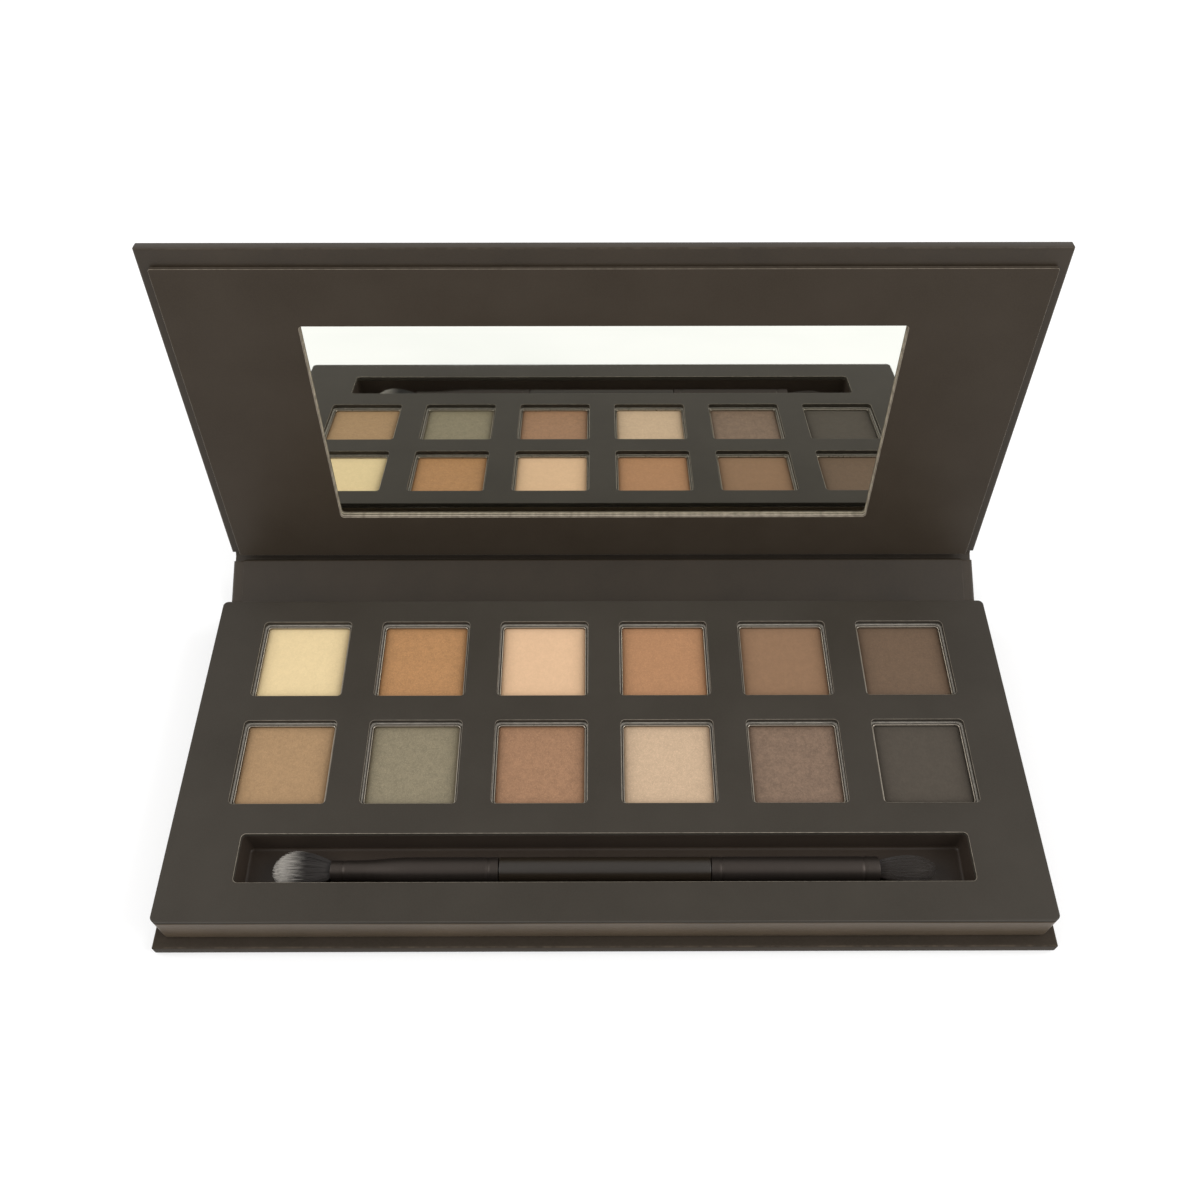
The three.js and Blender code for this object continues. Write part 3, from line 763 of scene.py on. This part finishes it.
# %% [markdown]
# ## Powders
# A cake of powder is pressed flat, but never quite: the surface swells and dips by a few hundredths of a
# millimetre, and it rounds off at the rim. A grid of points over the square gives real relief for the light
# to find. Near a corner the grid is drawn in towards the corner's arc, so the cake fits its pan.

# %% Powders
grid_steps = 64
cake_corner = 0.65
crumble, rim_drop, dark_border = 0.3, 0.22, 0.7
powder_sink = 0.05
crowd = 0.35
wave_count, wave_short, wave_long, wave_height = 24, 0.9, 6, 0.0011
phase_range = 6.3
rng = np.random.default_rng(7)


def cake(number):
    """A square height field: x and y run over the pan, and height is the top less a rounded border.

    In a corner's own square, a point is drawn in by its longer side over its distance from the corner's
    centre, which turns the square into a quarter disc. The relief is a sum of waves, each in a random
    direction."""
    low, high = measured(f"powder_{number}")
    middle, half = (low + high) / 2, (high - low) / 2
    even = np.linspace(-1, 1, grid_steps)
    share = np.sin(even * np.pi / 2) * crowd + even * (1 - crowd)
    across, along = np.meshgrid(share * half[0], share * half[1], indexing="xy")
    border = np.minimum(half[0] - np.abs(across), half[1] - np.abs(along))
    corner_x = np.maximum(np.abs(across) - half[0] + cake_corner, 0)
    corner_y = np.maximum(np.abs(along) - half[1] + cake_corner, 0)
    reach = np.maximum(np.hypot(corner_x, corner_y), 1e-9)
    draw = np.where((corner_x > 0) & (corner_y > 0), np.maximum(corner_x, corner_y) / reach, 1)
    x = np.sign(across) * (np.abs(across) - corner_x * (1 - draw))
    y = np.sign(along) * (np.abs(along) - corner_y * (1 - draw))
    way = rng.uniform(0, 2 * np.pi, wave_count)
    length = rng.uniform(wave_short, wave_long, wave_count)
    phase = rng.uniform(0, phase_range, wave_count)
    run = x[..., None] * np.cos(way) + y[..., None] * np.sin(way)
    relief = (np.sin(run * 2 * np.pi / length + phase) * length).sum(-1) * wave_height
    z = high[2] - powder_sink + relief - rim_drop * np.exp(-border / crumble)
    top = np.stack([x + middle[0], y + middle[1], z], -1).reshape(-1, 3)
    index = np.arange(grid_steps ** 2).reshape(grid_steps, grid_steps)
    quads = np.stack([index[:-1, :-1], index[:-1, 1:], index[1:, 1:], index[1:, :-1]], -1).reshape(-1, 4)
    rim_loop = np.concatenate([index[0, :-1], index[:-1, -1], index[-1, :0:-1], index[:0:-1, 0]])
    foot = top[rim_loop].copy()
    foot[:, 2] = low[2]
    beside = np.arange(len(rim_loop))
    after = (beside + 1) % len(rim_loop)
    under = len(top)
    walls = np.stack([under + beside, under + after, rim_loop[after], rim_loop[beside]], -1)
    faces = quads.tolist() + walls.tolist() + [(under + beside[::-1]).tolist()]
    packed = np.concatenate([np.exp(-border / dark_border).ravel(), np.ones(len(foot))])
    name = POWDERS[number - 1][0]
    return piece(f"{name}_powder", np.concatenate([top, foot]), faces, powder_finishes[number - 1], "base",
                 [f"powder_{number}"], {"edge": packed})


cakes = [cake(number) for number in PANS]
print(len(cakes), "powders of", len(cakes[0].data.polygons), "faces each")

# %% [markdown]
# ## Paper hinges
# Between the boards the outer paper spans a gap and the lining paper is pressed down onto it, which makes
# the soft valley that the case folds on. Each strip is a line in the plane of the fold, thickened and
# carried across the palette. The lines are drawn with the fold flat and then bent: what lies past the fold
# line is turned, and a short stretch about it is rounded, so the strip meets both boards as they stand.

# %% Fold strips
bend_half = 1.1
end_step, cross_sections = 0.12, 9


def rounded_line(corners, radius, steps=5):
    """A line through corners, each softened by a parabola that leaves and joins its sides at the radius."""
    corners = np.asarray(corners, float)
    before, middle, after = corners[:-2], corners[1:-1], corners[2:]

    def towards(start, end):
        gap = end - start
        length = np.linalg.norm(gap, axis=1, keepdims=True)
        return start + gap * np.minimum(radius / length, 0.5)

    t = np.linspace(0, 1, steps)[None, :, None]
    first, last = towards(middle, before)[:, None], towards(middle, after)[:, None]
    curve = (1 - t) ** 2 * first + 2 * t * (1 - t) * middle[:, None] + t ** 2 * last
    return np.concatenate([corners[:1], curve.reshape(-1, 2), corners[-1:]])


def bent(line, angle):
    """A flat line bent at its origin: a point's turn grows from nothing to the whole angle over a short
    stretch, and its place is the parabola through the fold plus its height along the turned normal."""
    y, z = line.T
    t = np.clip((y + bend_half) / (2 * bend_half), 0, 1)
    turn = t * angle
    ahead, behind = np.array([math.cos(angle), math.sin(angle)]), np.array([-1.0, 0.0])
    curve = ahead * (bend_half * t ** 2)[:, None] + behind * (bend_half * (1 - t) ** 2)[:, None]
    past = ahead * np.maximum(y - bend_half, 0)[:, None] + behind * np.maximum(-y - bend_half, 0)[:, None]
    return curve + past + np.stack([-np.sin(turn), np.cos(turn)], -1) * z[:, None]


def strip(name, line, thickness, half_width, angle, body, slot, stands_for=()):
    """A thick sheet across the palette: its section is the line moved half a thickness to each side."""
    along = np.gradient(line, axis=0)
    normal = np.stack([-along[:, 1], along[:, 0]], -1) / np.linalg.norm(along, axis=1, keepdims=True)
    under, over = line - normal * thickness / 2, line + normal * thickness / 2
    section = bent(np.concatenate([under, over[::-1]]), angle)
    width = half_width * np.array([-1, 1])
    inner = np.linspace(width[0], width[1], cross_sections)[1:-1]
    across = np.concatenate([[width[0], width[0] + end_step], inner, [width[1] - end_step, width[1]]])
    count = len(section)
    points = np.empty((len(across), count, 3))
    points[..., 0] = across[:, None]
    points[..., 1:] = section[None]
    faces = ring_faces(len(across), count)
    row = np.arange(count // 2 - 1)
    cap = np.stack([row, count - 1 - row, count - 2 - row, row + 1], -1)
    far = cap[:, ::-1] + (len(across) - 1) * count
    edge = np.zeros((len(across), count))
    edge[[0, -1]] = 1
    edge[:, [0, count // 2 - 1, count // 2, count - 1]] = 1
    faces = np.concatenate([faces, cap, far]).tolist()
    made = piece(name, placed(points.reshape(-1, 3), body), faces, slot[0], None, stands_for,
                 {"edge": edge})
    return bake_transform(made)


STAND["base_fold"] = (turn_about_x(0), fold["spine_fold"])
STAND["lid_fold"] = (turn_about_x(spine_angle), fold["lid_fold"])
print("fold helpers ready")

# %% Hinges
hinge_gap = 2.3
lining = 0.2
cover_middle, cover_overlap, cover_points = -0.07, 0.12, 25
valley_clear, wall_clear, lid_sink = 0.04, 0.06, 0.05
valley_round, valley_step = 0.45, 0.12
lining_overlap, tuck, tuck_end = 0.3, 0.3, 0.1
valley = cover_middle + paper / 2 + valley_clear + lining / 2
wall_stand = hinge_gap - wall_clear - lining / 2
wrap_slot, lining_slot = (wrap_finish, "wrap_paper"), (lining_finish, "wrap_paper")
half_case = float(measured("base_wrap")[1][0])
spine_lining_high = measured("spine_lining", "spine")[1]
half_lining = float(spine_lining_high[0])
on_spine = float(spine_lining_high[2]) - lining / 2
base_top = float(measured("base_wrap")[1][2] - fold["spine_fold"][2])
on_base = base_top + wall_clear + lining / 2
on_lid = float(measured("lid_wrap", "lid")[1][2]) - lid_sink
lid_turn = lid_angle - spine_angle

cover_end = hinge_gap + cover_overlap
cover_line = np.stack([np.linspace(-cover_end, cover_end, cover_points),
                       np.full(cover_points, cover_middle)], -1)
strip("base_hinge_cover", cover_line, paper, half_case, spine_angle, "base_fold",
      wrap_slot, ["base_hinge_paper"])
strip("lid_hinge_cover", cover_line, paper, half_case, lid_turn, "lid_fold",
      wrap_slot, ["lid_hinge_paper"])


def valley_line(left, right):
    """Down one board's edge, along the valley in short steps, and up the other's."""
    floor = [[y, valley] for y in np.linspace(-wall_stand, wall_stand, 2)]
    corners = np.array([*left, *floor, *right])
    return resampled(rounded_line(corners, valley_round), valley_step)


def resampled(line, step):
    """The same line with points evenly spaced along it."""
    length = np.concatenate([[0], np.cumsum(np.linalg.norm(np.diff(line, axis=0), axis=1))])
    keep = np.concatenate([[True], np.diff(length) > 1e-9])
    even = np.linspace(0, length[-1], int(length[-1] / step) + 1)
    return np.stack([np.interp(even, length[keep], line[keep, axis]) for axis in (0, 1)], -1)


lining_back = -float(fold["spine_fold"][1] - measured("base_lining")[1][1]) + lining_overlap
base_line = valley_line([[lining_back, on_base], [-wall_stand, on_base]],
                        [[wall_stand, on_spine - tuck - tuck_end]])
strip("base_groove_lining", base_line, lining, half_lining, spine_angle, "base_fold",
      lining_slot)
spine_start = wall_stand - spine_length
lid_line = valley_line([[spine_start, on_spine - tuck], [spine_start, on_spine], [-wall_stand, on_spine]],
                       [[wall_stand, on_lid]])
strip("spine_groove_lining", lid_line, lining, half_lining, lid_turn, "lid_fold",
      lining_slot, ["spine_lining"])
print("hinges:", [made.name for made in made_pieces[-4:]])

# %% [markdown]
# ## The brush's tubes
# The handle and the two ferrules are turned shapes: a profile of distance and radius spun about the
# brush's own axis. Shallow rolled grooves near each end of a ferrule grip the handle and the hair. The
# left ferrule narrows to a small neck for the soft head.

# %% Handle and ferrules
around_brush = 64
groove_depth, groove_width, groove_step = 0.12, 0.35, 0.08
tube_round = 0.12
right_grooves, left_grooves = (2.2, 3.2), (2.6, 2.2)
handle_low, handle_high = measured("brush_handle", "brush")
axis_place = (handle_low + handle_high) / 2
brush_radius = float(handle_high[2] - handle_low[2]) / 2


def turned(name, stations, finish_used, stands_for):
    """A profile of (distance along X, radius) spun about the brush's axis, with flat closed ends."""
    stations = np.asarray(stations, float)
    if stations[0, 0] < stations[-1, 0]:
        stations = stations[::-1]
    angle = np.linspace(0, 2 * np.pi, around_brush, endpoint=False)
    points = np.empty((len(stations), around_brush, 3))
    points[..., 0] = stations[:, :1]
    points[..., 1] = axis_place[1] + stations[:, 1:] * np.cos(angle)
    points[..., 2] = axis_place[2] + stations[:, 1:] * np.sin(angle)
    faces = ring_faces(len(stations), around_brush)[:, ::-1].tolist()
    last = (len(stations) - 1) * around_brush
    faces += [list(range(around_brush)), list(range(last, last + around_brush))[::-1]]
    return piece(name, points.reshape(-1, 3), faces, finish_used, "brush", stands_for)


def grooved(stations, low, high, insets):
    """A profile resampled closely, with a shallow round groove pressed in at an inset from each end."""
    line = resampled(np.asarray(stations, float), groove_step)
    for place in (low + insets[0], high - insets[1]):
        line[:, 1] -= groove_depth * np.exp(-((line[:, 0] - place) / groove_width) ** 2)
    return line


def tube_ends(start, stop, radius_start, radius_stop):
    """The profile of a tube with rounded ends."""
    lean = np.radians(np.linspace(90, 0, 5))
    inwards, outwards = tube_round * (1 - np.sin(lean)), tube_round * np.cos(lean)
    head = np.stack([start + inwards, radius_start - tube_round + outwards], -1)
    tail = np.stack([stop - inwards, radius_stop - tube_round + outwards], -1)[::-1]
    return head, tail


handle_head, handle_tail = tube_ends(handle_low[0], handle_high[0], brush_radius, brush_radius)
turned("handle_tube", np.concatenate([handle_head, handle_tail]), handle_finish,
       ["brush_handle"])

right_low, right_high = measured("ferrule_right", "brush")
head, tail = tube_ends(right_low[0], right_high[0], brush_radius, brush_radius)
turned("right_ferrule_tube", grooved([*head, *tail], right_low[0], right_high[0], right_grooves),
       ferrule_finish, ["ferrule_right"])

left_low, left_high = measured("ferrule_left", "brush")
neck_radius, neck_length, taper_start = 2.1, 6, 16.5
head, tail = tube_ends(left_low[0], left_high[0], neck_radius, brush_radius)
taper = np.linspace(0, 1, 12)
taper_x = left_low[0] + neck_length + taper * (taper_start - neck_length)
taper_r = neck_radius + (brush_radius - neck_radius) * (taper * taper * (3 - 2 * taper))
left_stations = [*head, *np.stack([taper_x, taper_r], -1), *tail]
turned("left_ferrule_tube", grooved(left_stations, left_low[0], left_high[0], left_grooves),
       ferrule_finish, ["ferrule_left"])
print("brush tubes radius", round(brush_radius, 2), "mm")

# %% [markdown]
# ## The hair
# A head is well over a thousand single hairs, each a three-sided tapering tube. Blender's own hair would
# not be a mesh, so they are worked out as arrays: a hair starts at a place in the ferrule's mouth
# and keeps its share of the head's width as the head swells, and it ends where the dome is. A core,
# darkened as painted shade, fills the middle so no light shows through. The soft head has pale tips, the firm
# one is dark all over.

# %% Hair
widest_at = 0.55
neck_share = 0.6
hair_stations, hair_sides, hair_radius = 7, 3, 0.075
core_stations, core_around, core_share = 10, 24, 0.8
core_stop, core_dome = 0.9, 0.93
root_spread, side_limit, short_share = 0.97, 0.96, 0.1
tip_thinning, thinning_power = 0.72, 1.5
thin_hair, thick_hair = 0.75, 1.2


def swell(t, neck):
    """How wide the head is at a share of its length: out from the neck along a sine to its widest."""
    return neck + (1 - neck) * np.sin(np.clip(t / widest_at, 0, 1) * np.pi / 2)


def head_of_hair(name, node_name, way, mouth, hairs, stray, finish_used, seed):
    """Hairs in a bundle. Each station's centre is the root's share of the width times the swell; the tip's
    place is where a dome over the widest part has that share. Sections are small triangles."""
    low, high = measured(node_name, "brush")
    half = (high - low)[1:] / 2
    length = float(high[0] - low[0])
    root = float(low[0] if way > 0 else high[0])
    neck = min(neck_share, mouth / half[0])
    random = np.random.default_rng(seed)
    rho = np.sqrt(random.uniform(0, 1, hairs)) * root_spread
    theta = random.uniform(0, 2 * np.pi, hairs)
    reach = widest_at + (1 - widest_at) * np.sqrt(1 - rho ** 2)
    reach = reach * (1 - short_share * random.uniform(0, 1, hairs) ** 2)
    steps = np.linspace(0, 1, hair_stations)[None, :]
    t = reach[:, None] * steps
    sway = random.normal(0, stray, (hairs, 2)) * half
    wide = np.minimum(rho, side_limit)[:, None] * swell(t, neck)
    centre = np.empty((hairs, hair_stations, 3))
    centre[..., 0] = root + way * length * t
    centre[..., 1] = axis_place[1] + wide * np.cos(theta)[:, None] * half[0] + sway[:, :1] * steps ** 2
    centre[..., 2] = axis_place[2] + wide * np.sin(theta)[:, None] * half[1] + sway[:, 1:] * steps ** 2
    thinned = 1 - tip_thinning * steps ** thinning_power
    thick = hair_radius * thinned * random.uniform(thin_hair, thick_hair, (hairs, 1))
    spin = np.radians([90, 210, 330]) * way
    points = np.repeat(centre[:, :, None], hair_sides, axis=2)
    points[..., 1] += thick[..., None] * np.cos(spin)
    points[..., 2] += thick[..., None] * np.sin(spin)
    one = ring_faces(hair_stations, hair_sides)
    per_hair = hair_stations * hair_sides
    start = np.arange(hairs)[:, None] * per_hair
    quads = (start[:, None] + one[None]).reshape(-1, 4)
    section = np.arange(hair_sides)[None]
    ends = np.concatenate([start + section[:, ::-1], start + per_hair - hair_sides + section])
    along = np.repeat(t[..., None], hair_sides, -1).ravel()
    shade = np.repeat(random.uniform(0, 1, hairs), per_hair)
    points = points.reshape(-1, 3)

    core_t = np.linspace(0, core_stop, core_stations)
    past_widest = np.maximum(0, (core_t / core_dome - widest_at) / (1 - widest_at))
    dome = np.sqrt(np.clip(1 - past_widest ** 2, 0.02, 1))
    core_wide = (core_share * swell(core_t, neck) * dome)[:, None]
    turn = np.linspace(0, 2 * np.pi, core_around, endpoint=False) * way
    core = np.empty((core_stations, core_around, 3))
    core[..., 0] = root + way * length * core_t[:, None]
    core[..., 1] = axis_place[1] + core_wide * np.cos(turn) * half[0]
    core[..., 2] = axis_place[2] + core_wide * np.sin(turn) * half[1]
    offset = len(points)
    core_end = offset + core_stations * core_around
    core_faces = (ring_faces(core_stations, core_around) + offset).tolist()
    core_faces.append(list(range(offset, offset + core_around))[::-1])
    core_faces.append(list(range(core_end - core_around, core_end)))
    faces = quads.tolist() + ends.tolist() + core_faces
    along = np.concatenate([along, np.repeat(core_t, core_around)])
    # The core takes a shade value of one, the darkest: painted shade in the middle of the head.
    shade = np.concatenate([shade, np.ones(core_end - offset)])
    return piece(name, np.concatenate([points, core.reshape(-1, 3)]), faces, finish_used, "brush",
                 [node_name], {"along": along, "shade": shade})


mouth = 1.95
soft_hair = head_of_hair("soft_hair_head", "bristles_left", -1, mouth, 1500, 0.035, pale_hair,
                         3)
firm_hair = head_of_hair("firm_hair_head", "bristles_right", 1, mouth, 1300, 0.015, dark_hair,
                         5)
print("hair:", len(soft_hair.data.polygons), "and", len(firm_hair.data.polygons), "faces")

# %% [markdown]
# ## Finishes for the imported pieces
# The boards, magnets, tapes and the mirror keep their imported shape, which is right as it is. Each takes the
# finish listed for it below.

# %% Imported pieces
FINISH_OF = {
    board_finish: ["base_board", "tray_floor", "tray_frame", "pan_platform", "well_board",
                   "front_spacer", "magnet_block_left", "magnet_block_right", "spine_board",
                   "lid_board", "lid_frame_board"],
    tape_finish: ["pan_adhesive", "mirror_tape"],
    magnet_finish: ["tray_magnet_left", "tray_magnet_right", "lid_magnet_left", "lid_magnet_right"],
    mirror_finish: ["mirror"],
    lining_finish: ["base_lining"],
}
for used, node_names in FINISH_OF.items():
    for node_name in node_names:
        packed = frame["nodes"][node_name].data
        packed.materials.clear()
        packed.materials.append(used)
kept = [name for name, packed in frame["nodes"].items() if not packed.hide_render]
unfinished = set(kept) - {name for names in FINISH_OF.values() for name in names}
print("still in their packed finish:", sorted(unfinished))
print(len(kept), "packed pieces refinished")

# %% [markdown]
# ## Floor and light
# A white table lit from below that runs out of view, a white sky and two large soft lamps at the sides. The
# light from below keeps the white clean right up to the palette. The sky is a little brighter behind the
# palette than in front, and the card's gloss fades towards the back, where it sees the dark lid. The mirror
# shows the floor in front of the palette, so the floor has to be clean and bright.

# %% Stage
floor_mesh = bpy.data.meshes.new("floor")
reach = 3.0
below = -0.0002
floor_mesh.from_pydata([(-reach, -reach, below), (reach, -reach, below), (reach, reach, below),
                        (-reach, reach, below)], [], [(0, 1, 2, 3)])
floor_look = {"Base Color": (0.55, 0.55, 0.55, 1), "Roughness": 0.9, "Emission Color": (1, 1, 1, 1),
              "Emission Strength": 0.46}
floor_mesh.materials.append(finish("floor", floor_look))
floor = bpy.data.objects.new("floor", floor_mesh)
bpy.context.scene.collection.objects.link(floor)

world = bpy.data.worlds.new("studio")
bpy.context.scene.world = world
world.use_nodes = True
sky_front, sky_back, sky_span = 0.7, 0.9, 0.8
sky = world.node_tree
sky.nodes["Background"].inputs["Color"].default_value = (1, 1, 1, 1)
direction = node(sky, "SeparateXYZ", {0: node(sky, "TexCoord").outputs["Generated"]}).outputs["Y"]
strength = band(sky, direction, -sky_span, sky_span, sky_front, sky_back)
sky.links.new(strength, sky.nodes["Background"].inputs["Strength"])


def lamp(name, place, aim, size, watts):
    """A square soft lamp, turned to face a point."""
    data = bpy.data.lights.new(name, "AREA")
    data.size, data.energy = size, watts
    made = bpy.data.objects.new(name, data)
    made.location = place
    made.rotation_mode = "QUATERNION"
    made.rotation_quaternion = (Vector(aim) - Vector(place)).to_track_quat("-Z", "Y")
    bpy.context.scene.collection.objects.link(made)
    return made


lamp_aim, lamp_size = (0, 0.01, 0), 0.5
lamp("left_lamp", (-0.65, -0.1, 0.5), lamp_aim, lamp_size, 2.55)
lamp("right_lamp", (0.65, -0.1, 0.5), lamp_aim, lamp_size, 3.3)
bpy.context.scene.view_settings.view_transform = "Standard"
bpy.context.scene.view_settings.look = "None"
print("floor and lights in place")
